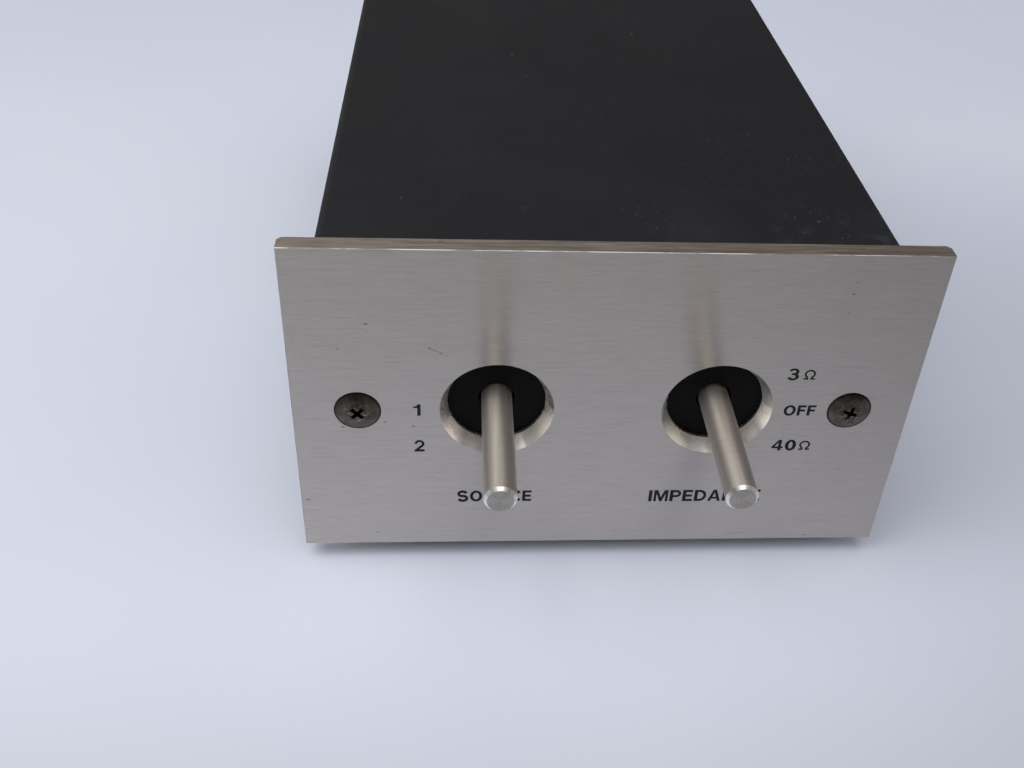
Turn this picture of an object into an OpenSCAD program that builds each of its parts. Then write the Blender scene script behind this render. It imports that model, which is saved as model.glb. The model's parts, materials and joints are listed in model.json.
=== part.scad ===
// Moving coil step-up unit: a thick brushed panel with two lever switches, on a folded steel case.
// Millimetres. X runs along the panel, Y from the lever tips to the rear sockets, Z up from the table.
// The origin is on the table, under the middle of the whole part.

/* [Front panel] */
// Width of the front panel
panel_w = 107; // [102:0.5:120]
// Height of the front panel
panel_h = 63.6; // [60:0.1:76]
// Thickness of the front panel
panel_t = 3.3; // [2.8:0.1:5]
// How far the panel stands out past the case on every side
panel_overhang = 4.3; // [3:0.1:6]
// Height of the panel's lower edge above the table
panel_gap = 3.7; // [1:0.1:5]
// Edge break round the panel's front
panel_chamfer = 0.1; // [0.05:0.05:0.5]
// Edge break at the back of the panel's two ends
panel_end_break = 0.8; // [0.4:0.1:1.2]

/* [Lever openings] */
// Distance between the two levers
lever_pitch = 38.2; // [36:0.2:42]
// Bore of each lever opening
opening_d = 16.9; // [15:0.1:18]
// Width of the bevel where it meets the panel's face
bevel_d = 19.5; // [18.4:0.1:21]
// Depth of the bevel
bevel_depth = 2.7; // [1:0.1:2.8]

/* [Panel screws] */
// Distance of a panel screw from the panel's end
panel_screw_inset = 10.9; // [10:0.1:13]
// Shank of a panel screw
panel_screw_d = 4; // [3:0.5:4]
// Rim of a panel screw's raised head
panel_screw_head_d = 7.7; // [7:0.1:8.4]
// Height of the raised head above the panel
panel_screw_dome = 1; // [0.6:0.1:1.4]
// Length of a panel screw under the panel's face
panel_screw_l = 10; // [9:0.5:14]

/* [Levers] */
// Diameter of a lever
lever_d = 5.3; // [4.6:0.1:6]
// How far a lever stands out from the panel
lever_reach = 22; // [16:0.5:30]
// Edge break at the lever's tip
lever_chamfer = 0.5; // [0.2:0.1:1]
// Angle between one switch position and the next
lever_throw = 14; // [8:1:15]
// Distance from the panel's back to the lever's pivot
pivot_setback = 12; // [11.5:0.1:14]
// Thickness of the sliding dust shield
shield_t = 0.8; // [0.5:0.1:0.9]

/* [Case] */
// Length of the case behind the panel
case_d = 158; // [150:1:190]
// Sheet thickness of the cover
cover_t = 1.2; // [0.8:0.1:1.6]
// Inner radius of the cover's folds
cover_fold_r = 0.3; // [0.2:0.1:2]
// Sheet thickness of the chassis
chassis_t = 1.6; // [1.4:0.1:2]
// Height of the chassis's side lips
lip_h = 13; // [12:0.5:16]
// How far the cover reaches past the rear wall
rear_lip = 1.5; // [0.5:0.1:4]

/* [Feet] */
// Diameter of a foot against the case
foot_d = 13; // [11:0.5:16]
// Diameter of a foot on the table
foot_floor_d = 11.4; // [9:0.2:12.6]
// Distance of a foot's middle from the case's edges
foot_inset = 13; // [10:0.5:18]

/* [Sockets] */
// Outer diameter of a socket's shell
jack_d = 8.3; // [8:0.1:8.6]
// How far a socket stands out from the rear wall
jack_reach = 9.5; // [9:0.1:12]
// Bore of the socket's middle contact
jack_bore_d = 3.3; // [3.2:0.1:3.5]
// Distance between the socket columns
jack_pitch_x = 20; // [17:0.5:22]
// Distance between the socket rows
jack_pitch_z = 16; // [15:0.5:20]
// Sideways place of the middle column
jack_x = 8; // [4:0.5:10]
// Thickness of the socket board
board_t = 1.6; // [1:0.1:2]

/* [Earth terminal] */
// Diameter of the terminal's stud
post_d = 4; // [3:0.5:4]
// Diameter of the thumb nut
thumb_d = 10; // [8:0.5:12]
// Thickness of the thumb nut
thumb_h = 4.6; // [3:0.1:5]
// Distance of the terminal from the case's side
post_inset = 13.2; // [11:0.1:15]

/* [Transformers] */
// Diameter of a transformer's shield can
can_d = 34; // [30:0.5:38]
// Height of a shield can
can_h = 38; // [36:0.5:40]
// Wall of a shield can
can_t = 1; // [0.6:0.1:1.2]
// Distance from a can's middle to the rear wall
can_setback = 46; // [42:0.5:50]
// Diameter of an inner lead
lead_d = 3; // [2:0.2:3]

/* [Hidden] */
$fn = 64;

// Clearances: threads, plain holes, countersunk rims, sliding pieces, press seats and folded sheet
thread_gap = 0.05;
hole_gap = 0.2;
rim_gap = 0.1;
slide_gap = 0.3;
seat_gap = 0.05;
sheet_gap = 0.15;

// Colours
alloy = [0.74, 0.73, 0.71];
steel = [0.62, 0.62, 0.6];
dull_steel = [0.36, 0.35, 0.33];
black_paint = [0.13, 0.13, 0.14];
black_fibre = [0.05, 0.05, 0.055];
rubber = [0.09, 0.09, 0.09];
phenolic = [0.36, 0.22, 0.12];
shield_metal = [0.5, 0.5, 0.47];
brass = [0.78, 0.62, 0.33];
nickel = [0.72, 0.71, 0.68];

// Places along Y, from the lever tips to the socket mouths
overall_d = lever_reach + panel_t + case_d - rear_lip + jack_reach;
panel_y = lever_reach - overall_d / 2;
panel_back_y = panel_y + panel_t;
wall_back_y = panel_back_y + chassis_t;
rear_edge_y = panel_back_y + case_d;
rear_y = rear_edge_y - rear_lip;
rear_inner_y = rear_y - chassis_t;
board_y = rear_inner_y - board_t;
pivot_y = panel_back_y + pivot_setback;

// Case outline
case_w = panel_w - 2 * panel_overhang;
case_z0 = panel_gap + panel_overhang;
case_z1 = panel_gap + panel_h - panel_overhang;
mid_z = panel_gap + panel_h / 2;
panel_screw_x = panel_w / 2 - panel_screw_inset;
post_x = post_inset - case_w / 2;
floor_z = case_z0 + chassis_t;
inner_top_z = case_z1 - cover_t;
cover_inner_w = case_w - 2 * cover_t;
chassis_w = cover_inner_w - 2 * sheet_gap;
wall_top_z = inner_top_z - sheet_gap;
bend_r = 2 * chassis_t;

// How far each panel screw's cross came to rest from upright
cross_turns = [45, -18];

// Small screws: shank, head and head height of the M3 pan heads
m3_d = 3;
m3_head_d = 5.6;
m3_head_h = 2;
cover_screw_z = case_z0 + 0.55 * lip_h;
cover_screw_inset = 22;
cover_screw_l = cover_t + sheet_gap + chassis_t + 2.5;

// Dust shields and the switch frames that hold them against the panel
shield_y = panel_back_y + slide_gap;
shield_arm = pivot_setback - slide_gap - shield_t / 2;
shield_travel = shield_arm * tan(lever_throw);
shield_lap = 0.6;
shield_d = opening_d + 2 * (shield_travel + shield_lap);
shield_bore_d = lever_d / cos(lever_throw) + shield_t * tan(lever_throw) + 2 * slide_gap;
cavity_d = shield_d + 2 * slide_gap;
cavity_h = cavity_d + 2 * shield_travel;
frame_t = 1.2;
flange_margin = 1.6;
flange_web = 1.2;
flange_end = 3.4;
csk_d = 5.4;
flange_w = cavity_d + 2 * flange_margin;
flange_screw_z = cavity_h / 2 + csk_d / 2 + flange_web;
flange_h = 2 * (flange_screw_z + flange_end);
flange_screw_l = chassis_t + frame_t + 2;
slot_w = lever_d + 4 * slide_gap;
slot_rise = (pivot_setback - chassis_t) * tan(lever_throw);
slot_h = 2 * (slot_rise + lever_d / 2 / cos(lever_throw) + slide_gap);

// Lever pivots: pin, barrel, detent cam and the tail that drives the slider
cheek_gap = 14;
cheek_h = 24;
pin_d = 3;
pin_head_d = 4.6;
pin_head_h = 0.7;
pin_gap = 0.05;
barrel_d = 7.4;
barrel_l = cheek_gap - 2 * slide_gap;
stud_d = 3;
stud_l = 7;
cam_r = 0.55 * pivot_setback;
cam_gap = 1.4;
neck_l = cam_r + 0.8;
cam_w = 5;
notch_depth = 0.7;
notch_half = 0.9;
tail_d = 2;
tail_reach = 12;
tail_end_d = 4;
tail_end_l = 6;

// Contact bodies behind the pivots, with the slider in a front cavity
body_y = pivot_y + cam_r + cam_gap;
body_l = 14;
body_h = 30;
body_rear_y = body_y + body_l;
boss_d = 3;
boss_y = body_y + 9.5;
slider_y = body_y + 0.6;
slider_l = 7.4;
slider_w = 8.6;
slider_h = 9;
slider_travel = tail_reach * sin(lever_throw);
slider_slot_h = tail_end_d + slide_gap;
slider_slot_l = pivot_y + tail_reach + tail_end_d / 2 + slide_gap - slider_y;
spring_t = 0.4;
spring_w = 4;
spring_z = cam_r + 2.6;
spring_fold = 2.6;
spring_end = 2;
spring_pocket = 5;
terminal_w = 1.2;
terminal_t = 0.5;
terminal_out = 5;
terminal_in = 2.5;
terminal_x = 4.6;
terminal_rows = [-12, -6, 0, 6, 12];

// Rear sockets
jack_columns = [-1, 0, 1];
shell_wall = 0.7;
shell_flange_d = 11.6;
shell_flange_t = 0.8;
shell_crimp_d = 9.6;
shell_crimp_t = 0.5;
jack_inner_d = jack_d - 2 * shell_wall;
insulator_d = jack_inner_d - 2 * seat_gap;
insulator_step = 0.4;
contact_wall = 0.5;
contact_d = jack_bore_d + 2 * contact_wall;
contact_step = 1;
contact_bore_l = 7;
contact_tail_d = 1.8;
contact_tail_l = 6;
jack_hole_d = jack_d + 2 * hole_gap;
board_margin = 9;
board_w = 2 * jack_pitch_x + 2 * board_margin + 8;
board_h = jack_pitch_z + 2 * board_margin;
rivet_d = 3;
rivet_head_d = 5;
rivet_head_h = 0.9;
rivet_x = board_w / 2 - 3.5;

// Earth terminal
post_collar_d = 9;
post_collar_t = 1.5;
post_l = jack_reach - 0.4;
washer_t = 0.8;
washer_gap = 0.05;
post_inner_l = 7;
thumb_grooves = 24;
thumb_groove_d = 0.9;

// Transformers
can_y = rear_y - can_setback;
can_edge_r = 3;
can_flange_t = 1.2;
can_flange_d = can_d + 3;
can_side_gap = 1;
can_x = chassis_w / 2 - chassis_t - can_side_gap - can_flange_d / 2;
ear_w = 9;
can_screw_r = can_d / 2 + m3_head_d / 2 + 1;
ear_reach = can_screw_r + 4;
can_top_z = floor_z + can_h;
pad_t = 2;
core_h = 26;
core_t = 14;
leg_w = 7;
window_h = 14;
can_clear = 0.8;
core_room_r = can_d / 2 - can_t - can_clear;
core_w = 2 * sqrt(core_room_r * core_room_r - core_t * core_t / 4);
window_w = core_w / 2 - leg_w;
coil_gap = 0.2;
coil_round = 3;
coil_x = leg_w / 2 + window_w - coil_gap;
coil_y = coil_round + sqrt(pow(core_room_r - coil_round, 2) - pow(coil_x - coil_round, 2));
can_screw_l = can_flange_t + chassis_t + 2;
grommet_hole_d = 8;
grommet_d = 11;
grommet_lip = 1.4;
lead_gap = 0.3;

pickup_x = -lever_pitch / 2;
selector_x = lever_pitch / 2;
sides = [-1, 1];

// Turns a shape drawn along Z so that it points to the rear, to the front or to the right
module to_rear() rotate([-90, 0, 0]) children();
module to_front() rotate([90, 0, 0]) children();
module to_right() rotate([0, 90, 0]) children();

// A block given by its two corners
module block(low, high) translate(low) cube(high - low);

// Crossed driver slots, cut downwards from the top of a screw head
module cross_recess(span, width, depth) {
    half = span / 2;
    wing = [[-half, 1], [half, 1], [half, 0], [half / 2, -depth], [-half / 2, -depth], [-half, 0]];
    for (turn = [0, 90])
        rotate([90, 0, turn])
            linear_extrude(width, center = true)
                polygon(wing);
}

// Pan head screw: the head stands up from the seat at z = 0 and the shank goes down
module pan_screw(length) {
    difference() {
        union() {
            translate([0, 0, -length]) cylinder(d = m3_d, h = length);
            cylinder(d = m3_head_d, h = 0.6 * m3_head_h);
            translate([0, 0, 0.6 * m3_head_h])
                cylinder(d1 = m3_head_d, d2 = 0.7 * m3_head_d, h = 0.4 * m3_head_h);
        }
        translate([0, 0, m3_head_h]) cross_recess(3, 0.7, 1.2);
    }
}

// Flat countersunk screw, flush with the seat at z = 0
module flat_screw(length) {
    cone_h = (csk_d - m3_d) / 2;
    difference() {
        union() {
            translate([0, 0, -length]) cylinder(d = m3_d, h = length);
            translate([0, 0, -cone_h]) cylinder(d1 = m3_d, d2 = csk_d, h = cone_h);
        }
        cross_recess(3, 0.7, 0.9);
    }
}

// Hexagon nut in the usual proportions for its thread
module hex_nut(thread_d) {
    across_flats = 1.75 * thread_d;
    height = 0.75 * thread_d;
    difference() {
        cylinder(d = across_flats / cos(30), h = height, $fn = 6);
        translate([0, 0, -1]) cylinder(d = thread_d + 2 * thread_gap, h = height + 2);
    }
}

// Plate outline with broken front and back edges, seen along one of its sides
module broken_edge_profile(length, back_break) {
    half = length / 2;
    c = panel_chamfer;
    rear = panel_t - back_break;
    polygon([
        [c - half, 0], [half - c, 0], [half, c], [half, rear],
        [half - back_break, panel_t], [back_break - half, panel_t], [-half, rear], [-half, c]
    ]);
}

module front_panel() {
    countersink_d = panel_screw_head_d + 2 * rim_gap;
    countersink_h = (countersink_d - panel_screw_d) / 2 - hole_gap;
    color(alloy) difference() {
        translate([0, panel_y, mid_z]) intersection() {
            linear_extrude(panel_h, center = true) broken_edge_profile(panel_w, panel_end_break);
            rotate([0, -90, 0]) linear_extrude(panel_w, center = true)
                broken_edge_profile(panel_h, panel_chamfer);
        }
        for (side = sides) {
            translate([side * lever_pitch / 2, panel_y, mid_z]) to_rear() {
                translate([0, 0, -1]) cylinder(d = opening_d, h = panel_t + 2, $fn = 96);
                cylinder(d1 = bevel_d, d2 = opening_d, h = bevel_depth, $fn = 96);
            }
            translate([side * panel_screw_x, panel_y, mid_z]) to_rear() {
                translate([0, 0, -1]) cylinder(d = panel_screw_d + 2 * hole_gap, h = panel_t + 2);
                cylinder(d1 = countersink_d, d2 = panel_screw_d + 2 * hole_gap, h = countersink_h);
            }
        }
    }
}

// Raised countersunk screws that hold the panel to the chassis
module panel_screws() {
    head_r = panel_screw_head_d / 2;
    dome_r = (head_r * head_r + panel_screw_dome * panel_screw_dome) / (2 * panel_screw_dome);
    cone_h = (panel_screw_head_d - panel_screw_d) / 2;
    color(dull_steel) for (i = [0, 1])
        translate([sides[i] * panel_screw_x, panel_y, mid_z]) to_front() difference() {
            union() {
                intersection() {
                    translate([0, 0, panel_screw_dome - dome_r]) sphere(r = dome_r);
                    block([-head_r - 1, -head_r - 1, 0], [head_r + 1, head_r + 1, head_r]);
                }
                translate([0, 0, -cone_h]) cylinder(d1 = panel_screw_d, d2 = panel_screw_head_d, h = cone_h);
                translate([0, 0, -panel_screw_l]) cylinder(d = panel_screw_d, h = panel_screw_l);
            }
            translate([0, 0, panel_screw_dome - 0.15]) rotate(cross_turns[i])
                cross_recess(0.35 * panel_screw_head_d, 0.7, 1.7);
        }
}

module panel_nuts() {
    color(steel) for (side = sides)
        translate([side * panel_screw_x, wall_back_y, mid_z])
            to_rear() hex_nut(panel_screw_d);
}

// Upright slot with round ends, cut through a wall that faces the front
module upright_slot(width, height, depth) {
    straight = height - width;
    to_rear() {
        for (end = sides)
            translate([0, end * straight / 2, 0]) cylinder(d = width, h = depth);
        translate([-width / 2, -straight / 2, 0]) cube([width, straight, depth]);
    }
}

// Places along Y and X of the four feet
function foot_spots() = [
    for (side = sides, y = [panel_back_y + foot_inset, rear_edge_y - foot_inset])
        [side * (case_w / 2 - foot_inset), y]
];

function cover_screw_ys() = [panel_back_y + cover_screw_inset, rear_y - cover_screw_inset];

function can_screw_spots() = [
    for (side = sides, end = sides)
        [side * can_x, can_y + end * can_screw_r]
];

function socket_spots() = [
    for (column = jack_columns, row = sides)
        [jack_x + column * jack_pitch_x, mid_z + row * jack_pitch_z / 2]
];

// Floor, front wall and rear wall, folded from one strip and seen from the side
module strip_profile() {
    difference() {
        union() {
            translate([panel_back_y, case_z0 + bend_r])
                square([rear_y - panel_back_y, wall_top_z - case_z0 - bend_r]);
            translate([panel_back_y + bend_r, case_z0])
                square([rear_y - panel_back_y - 2 * bend_r, bend_r]);
            for (y = [panel_back_y + bend_r, rear_y - bend_r])
                translate([y, case_z0 + bend_r]) circle(r = bend_r);
        }
        translate([wall_back_y, floor_z + bend_r])
            square([rear_inner_y - wall_back_y, wall_top_z - floor_z]);
        translate([wall_back_y + bend_r, floor_z])
            square([rear_inner_y - wall_back_y - 2 * bend_r, wall_top_z - floor_z]);
        for (y = [wall_back_y + bend_r, rear_inner_y - bend_r])
            translate([y, floor_z + bend_r]) circle(r = bend_r);
    }
}

// Side lips that stand up from the floor for the cover screws
module side_lips() {
    relief = bend_r + 2;
    for (side = sides)
        translate([side * (chassis_w - chassis_t) / 2, 0, 0])
            block(
                [-chassis_t / 2, wall_back_y + relief, case_z0],
                [chassis_t / 2, rear_inner_y - relief, case_z0 + lip_h]
            );
}

module chassis() {
    color(steel) difference() {
        union() {
            rotate([90, 0, 90]) translate([0, 0, -chassis_w / 2]) linear_extrude(chassis_w) strip_profile();
            side_lips();
        }
        for (side = sides) {
            translate([side * lever_pitch / 2, panel_back_y - 1, mid_z])
                upright_slot(cavity_d, cavity_h, chassis_t + 2);
            translate([side * panel_screw_x, panel_back_y - 1, mid_z])
                to_rear() cylinder(d = panel_screw_d + 2 * hole_gap, h = chassis_t + 2);
            for (end = sides)
                translate([side * lever_pitch / 2, panel_back_y, mid_z + end * flange_screw_z]) to_rear() {
                    translate([0, 0, -1]) cylinder(d = m3_d + 2 * hole_gap, h = chassis_t + 2);
                    cylinder(d1 = csk_d + 2 * hole_gap, d2 = m3_d + 2 * hole_gap, h = (csk_d - m3_d) / 2);
                }
            for (y = cover_screw_ys())
                translate([side * (chassis_w / 2 - chassis_t) - chassis_t, y, cover_screw_z])
                    to_right() cylinder(d = m3_d + 2 * thread_gap, h = 2 * chassis_t);
        }
        for (spot = concat(foot_spots(), can_screw_spots()))
            translate([spot.x, spot.y, case_z0 - 1]) cylinder(d = m3_d + 2 * thread_gap, h = chassis_t + 2);
        for (spot = socket_spots())
            translate([spot.x, rear_inner_y - 1, spot.y])
                to_rear() cylinder(d = jack_hole_d, h = chassis_t + 2);
        for (side = sides)
            translate([jack_x + side * rivet_x, rear_inner_y - 1, mid_z])
                to_rear() cylinder(d = rivet_d + 2 * hole_gap, h = chassis_t + 2);
        translate([post_x, rear_inner_y - 1, mid_z])
            to_rear() cylinder(d = post_d + 2 * hole_gap, h = chassis_t + 2);
        for (side = sides)
            translate([side * chassis_w / 2, 0, wall_top_z]) rotate([0, 45, 0])
                cube([cover_fold_r * sqrt(2), 2 * case_d, cover_fold_r * sqrt(2)], center = true);
    }
}

// Half of a rounded sheet outline: straight sides and two round top corners
module arch_profile(width, top_z, radius) {
    translate([-width / 2, case_z0]) square([width, top_z - case_z0 - radius]);
    translate([-width / 2 + radius, case_z0]) square([width - 2 * radius, top_z - case_z0]);
    for (side = sides)
        translate([side * (width / 2 - radius), top_z - radius]) circle(r = radius);
}

module cover() {
    color(black_paint) difference() {
        translate([0, rear_edge_y, 0]) rotate([90, 0, 0]) linear_extrude(case_d) difference() {
            arch_profile(case_w, case_z1, cover_fold_r + cover_t);
            translate([0, -1]) arch_profile(cover_inner_w, inner_top_z + 1, cover_fold_r);
        }
        for (side = sides, y = cover_screw_ys())
            translate([side * (case_w - cover_t) / 2 - cover_t, y, cover_screw_z])
                to_right() cylinder(d = m3_d + 2 * hole_gap, h = 2 * cover_t);
    }
}

module cover_screws() {
    color(black_paint) for (side = sides, y = cover_screw_ys())
        translate([side * case_w / 2, y, cover_screw_z])
            rotate([0, side * 90, 0]) pan_screw(cover_screw_l);
}

// Rubber feet, each with a pocket for its screw head
module feet() {
    pocket_d = m3_head_d + 4 * hole_gap;
    pocket_h = m3_head_h + 1.2;
    color(rubber) for (spot = foot_spots())
        translate([spot.x, spot.y, 0]) difference() {
            cylinder(d1 = foot_floor_d, d2 = foot_d, h = case_z0);
            translate([0, 0, -1]) cylinder(d = pocket_d, h = pocket_h + 1);
            cylinder(d = m3_d + 2 * hole_gap, h = case_z0 + 1);
        }
}

module foot_screws() {
    pocket_h = m3_head_h + 1.2;
    length = case_z0 - pocket_h + chassis_t + 1;
    color(steel) for (spot = foot_spots())
        translate([spot.x, spot.y, pocket_h]) rotate([180, 0, 0]) pan_screw(length);
}

// Turned lever, drawn pointing to the front from the neck of its hub
module lever(x) {
    length = lever_reach + panel_t + pivot_setback - neck_l;
    color(alloy) translate([x, pivot_y - neck_l, mid_z]) to_front() difference() {
        union() {
            cylinder(d = lever_d, h = length - lever_chamfer);
            translate([0, 0, length - lever_chamfer])
                cylinder(d1 = lever_d, d2 = lever_d - 2 * lever_chamfer, h = lever_chamfer);
        }
        translate([0, 0, -1]) cylinder(d = stud_d + 2 * seat_gap, h = stud_l + 1.5);
    }
}

// Hub on the pivot pin: barrel, neck and stud to the front, notched cam on top, tail to the rear
module hub(x, positions) {
    color(brass) translate([x, pivot_y, mid_z]) difference() {
        union() {
            translate([-barrel_l / 2, 0, 0]) to_right() cylinder(d = barrel_d, h = barrel_l);
            translate([-cam_w / 2, 0, 0]) to_right() cylinder(r = cam_r, h = cam_w);
            to_front() cylinder(d = lever_d - 0.2, h = neck_l);
            to_front() cylinder(d = stud_d, h = neck_l + stud_l);
            to_rear() cylinder(d = tail_d, h = tail_reach);
            translate([-tail_end_l / 2, tail_reach, 0]) to_right() cylinder(d = tail_end_d, h = tail_end_l);
        }
        translate([-barrel_l / 2 - 1, 0, 0]) to_right() cylinder(d = pin_d + 2 * pin_gap, h = barrel_l + 2);
        for (position = positions)
            rotate([-position * lever_throw, 0, 0]) translate([0, 0, cam_r - notch_depth])
                rotate([90, 0, 90]) linear_extrude(cam_w + 2, center = true)
                    polygon([[0, 0], [2 * notch_half, 2 * notch_depth], [-2 * notch_half, 2 * notch_depth]]);
    }
}

module pivot_pin(x) {
    span = cheek_gap + 2 * frame_t;
    color(steel) translate([x - span / 2, pivot_y, mid_z]) to_right() {
        cylinder(d = pin_d, h = span);
        translate([0, 0, -pin_head_h]) cylinder(d = pin_head_d, h = pin_head_h);
        translate([0, 0, span]) cylinder(d = pin_head_d, h = pin_head_h);
    }
}

// Thin disc that slides behind the panel with the lever
module dust_shield(x) {
    color(black_fibre) translate([x, shield_y, mid_z]) to_rear() difference() {
        cylinder(d = shield_d, h = shield_t, $fn = 96);
        translate([0, 0, -1]) cylinder(d = shield_bore_d, h = shield_t + 2);
    }
}

// Switch frame: a flange behind the front wall and two cheeks that carry the pivot pin
module switch_frame(x) {
    cheek_x = cheek_gap / 2;
    color(steel) translate([x, 0, mid_z]) difference() {
        union() {
            block(
                [-flange_w / 2, wall_back_y, -flange_h / 2],
                [flange_w / 2, wall_back_y + frame_t, flange_h / 2]
            );
            for (side = sides)
                block(
                    [side > 0 ? cheek_x : -cheek_x - frame_t, wall_back_y, -cheek_h / 2],
                    [side > 0 ? cheek_x + frame_t : -cheek_x, body_rear_y, cheek_h / 2]
                );
        }
        translate([0, wall_back_y - 1, 0]) upright_slot(slot_w, slot_h, frame_t + 2);
        translate([-cheek_gap, pivot_y, 0]) to_right() cylinder(d = pin_d + 2 * seat_gap, h = 2 * cheek_gap);
        translate([-cheek_gap, boss_y, 0]) to_right() cylinder(d = boss_d + 2 * seat_gap, h = 2 * cheek_gap);
        for (end = sides)
            translate([0, wall_back_y - 1, end * flange_screw_z])
                to_rear() cylinder(d = m3_d + 2 * thread_gap, h = frame_t + 2);
    }
}

function terminal_spots() = [for (side = sides, row = terminal_rows) [side * terminal_x, row]];

// Moulded contact body between the cheeks, open to the front for the slider
module contact_body(x) {
    cavity_half = slider_h / 2 + slider_travel + slide_gap;
    cavity_x = slider_w / 2 + slide_gap;
    color(phenolic) translate([x, 0, mid_z]) difference() {
        union() {
            block([-cheek_gap / 2, body_y, -body_h / 2], [cheek_gap / 2, body_rear_y, body_h / 2]);
            translate([-cheek_gap / 2 - frame_t, boss_y, 0])
                to_right() cylinder(d = boss_d, h = cheek_gap + 2 * frame_t);
        }
        block(
            [-cavity_x, body_y - 1, -cavity_half],
            [cavity_x, slider_y + slider_l + slide_gap, cavity_half]
        );
        block(
            [-spring_w / 2, body_y - 1, spring_z],
            [spring_w / 2, body_y + spring_pocket, spring_z + spring_t]
        );
        for (spot = terminal_spots())
            block(
                [spot.x - terminal_t / 2, body_rear_y - terminal_in, spot.y - terminal_w / 2],
                [spot.x + terminal_t / 2, body_rear_y + 1, spot.y + terminal_w / 2]
            );
    }
}

module slider(x) {
    color(black_fibre) translate([x, 0, mid_z]) difference() {
        block([-slider_w / 2, slider_y, -slider_h / 2], [slider_w / 2, slider_y + slider_l, slider_h / 2]);
        block(
            [-slider_w / 2 - 1, slider_y - 1, -slider_slot_h / 2],
            [slider_w / 2 + 1, slider_y + slider_slot_l, slider_slot_h / 2]
        );
    }
}

module terminals(x) {
    color(nickel) for (spot = terminal_spots())
        translate([x + spot.x, body_rear_y, mid_z + spot.y]) difference() {
            block(
                [-terminal_t / 2, -terminal_in, -terminal_w / 2],
                [terminal_t / 2, terminal_out, terminal_w / 2]
            );
            translate([-1, terminal_out - 1.2, 0]) to_right() cylinder(d = 0.6, h = 2);
        }
}

// Leaf spring out of the contact body, folded down into the cam's notch
module detent_spring(x) {
    tip_z = cam_r - notch_depth / 2;
    rear = body_y - pivot_y + spring_pocket;
    under = [
        [rear, spring_z], [spring_fold, spring_z], [0, tip_z],
        [-spring_fold, spring_z], [-spring_fold - spring_end, spring_z]
    ];
    over = [for (i = [len(under) - 1:-1:0]) under[i] + [0, spring_t]];
    color(nickel) translate([x, pivot_y, mid_z])
        rotate([90, 0, 90]) linear_extrude(spring_w, center = true) polygon(concat(under, over));
}

module switch_screws() {
    color(steel) for (side = sides, end = sides)
        translate([side * lever_pitch / 2, panel_back_y, mid_z + end * flange_screw_z])
            to_front() flat_screw(flange_screw_l);
}

// Drawn shield can, standing on its flange with two screw ears
module can(x) {
    r = can_d / 2;
    centre = [r - can_edge_r, can_h - can_edge_r];
    corner = [for (a = [0:15:90]) centre + can_edge_r * [cos(a), sin(a)]];
    inner_corner = [for (a = [90:-15:0]) centre + (can_edge_r - can_t) * [cos(a), sin(a)]];
    color(shield_metal) translate([x, can_y, floor_z]) difference() {
        union() {
            rotate_extrude()
                polygon(concat(
                    [[r - can_t, 0], [r, 0]], corner, [[0, can_h], [0, can_h - can_t]], inner_corner
                ));
            difference() {
                union() {
                    cylinder(d = can_flange_d, h = can_flange_t);
                    block([-ear_w / 2, -ear_reach, 0], [ear_w / 2, ear_reach, can_flange_t]);
                }
                translate([0, 0, -1]) cylinder(r = r - can_t / 2, h = can_flange_t + 2);
            }
        }
        translate([0, 0, can_h - can_t - 1]) cylinder(d = grommet_hole_d, h = can_t + 2);
        for (end = sides)
            translate([0, end * can_screw_r, -1])
                cylinder(d = m3_d + 2 * hole_gap, h = can_flange_t + 2);
    }
}

// Rubber ring round the lead, gripping the can's top in its groove
module grommet(x) {
    r = grommet_d / 2;
    groove_r = grommet_hole_d / 2 - seat_gap;
    bore_r = lead_d / 2 + lead_gap;
    low = -can_t - grommet_lip;
    color(rubber) translate([x, can_y, can_top_z]) rotate_extrude()
        polygon([
            [bore_r, low], [r, low], [r, -can_t - seat_gap], [groove_r, -can_t - seat_gap],
            [groove_r, seat_gap], [r, seat_gap], [r - 0.5, grommet_lip], [bore_r, grommet_lip]
        ]);
}

// Shell core of stacked laminations, with a window on each side of the middle leg
module core(x) {
    color(dull_steel) translate([x, can_y, floor_z + pad_t + core_h / 2]) difference() {
        cube([core_w, core_t, core_h], center = true);
        for (side = sides)
            translate([side * (leg_w + window_w) / 2, 0, 0])
                cube([window_w, core_t + 2, window_h], center = true);
    }
}

// Winding round the core's middle leg, as large as the can has room for
module coil(x) {
    height = window_h - 2 * coil_gap;
    low_z = floor_z + pad_t + core_h / 2 - height / 2;
    color(brass) translate([x, can_y, low_z]) linear_extrude(height) difference() {
        union() {
            square([2 * coil_x, 2 * (coil_y - coil_round)], center = true);
            square([2 * (coil_x - coil_round), 2 * coil_y], center = true);
            for (i = sides, j = sides)
                translate([i * (coil_x - coil_round), j * (coil_y - coil_round)]) circle(r = coil_round);
        }
        square([leg_w + 2 * coil_gap, core_t + 2 * coil_gap], center = true);
    }
}

// Insulating disc between the core and the chassis floor
module pad(x) {
    color(phenolic) translate([x, can_y, floor_z]) cylinder(d = can_d - 2 * can_t - 2 * hole_gap, h = pad_t);
}

module can_screws() {
    color(steel) for (spot = can_screw_spots())
        translate([spot.x, spot.y, floor_z + can_flange_t]) pan_screw(can_screw_l);
}

module socket_board() {
    color(phenolic) translate([jack_x, board_y, mid_z]) difference() {
        block([-board_w / 2, 0, -board_h / 2], [board_w / 2, board_t, board_h / 2]);
        for (spot = socket_spots())
            translate([spot.x - jack_x, -1, spot.y - mid_z])
                to_rear() cylinder(d = jack_hole_d, h = board_t + 2);
        for (side = sides)
            translate([side * rivet_x, -1, 0])
                to_rear() cylinder(d = rivet_d + 2 * hole_gap, h = board_t + 2);
    }
}

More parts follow.
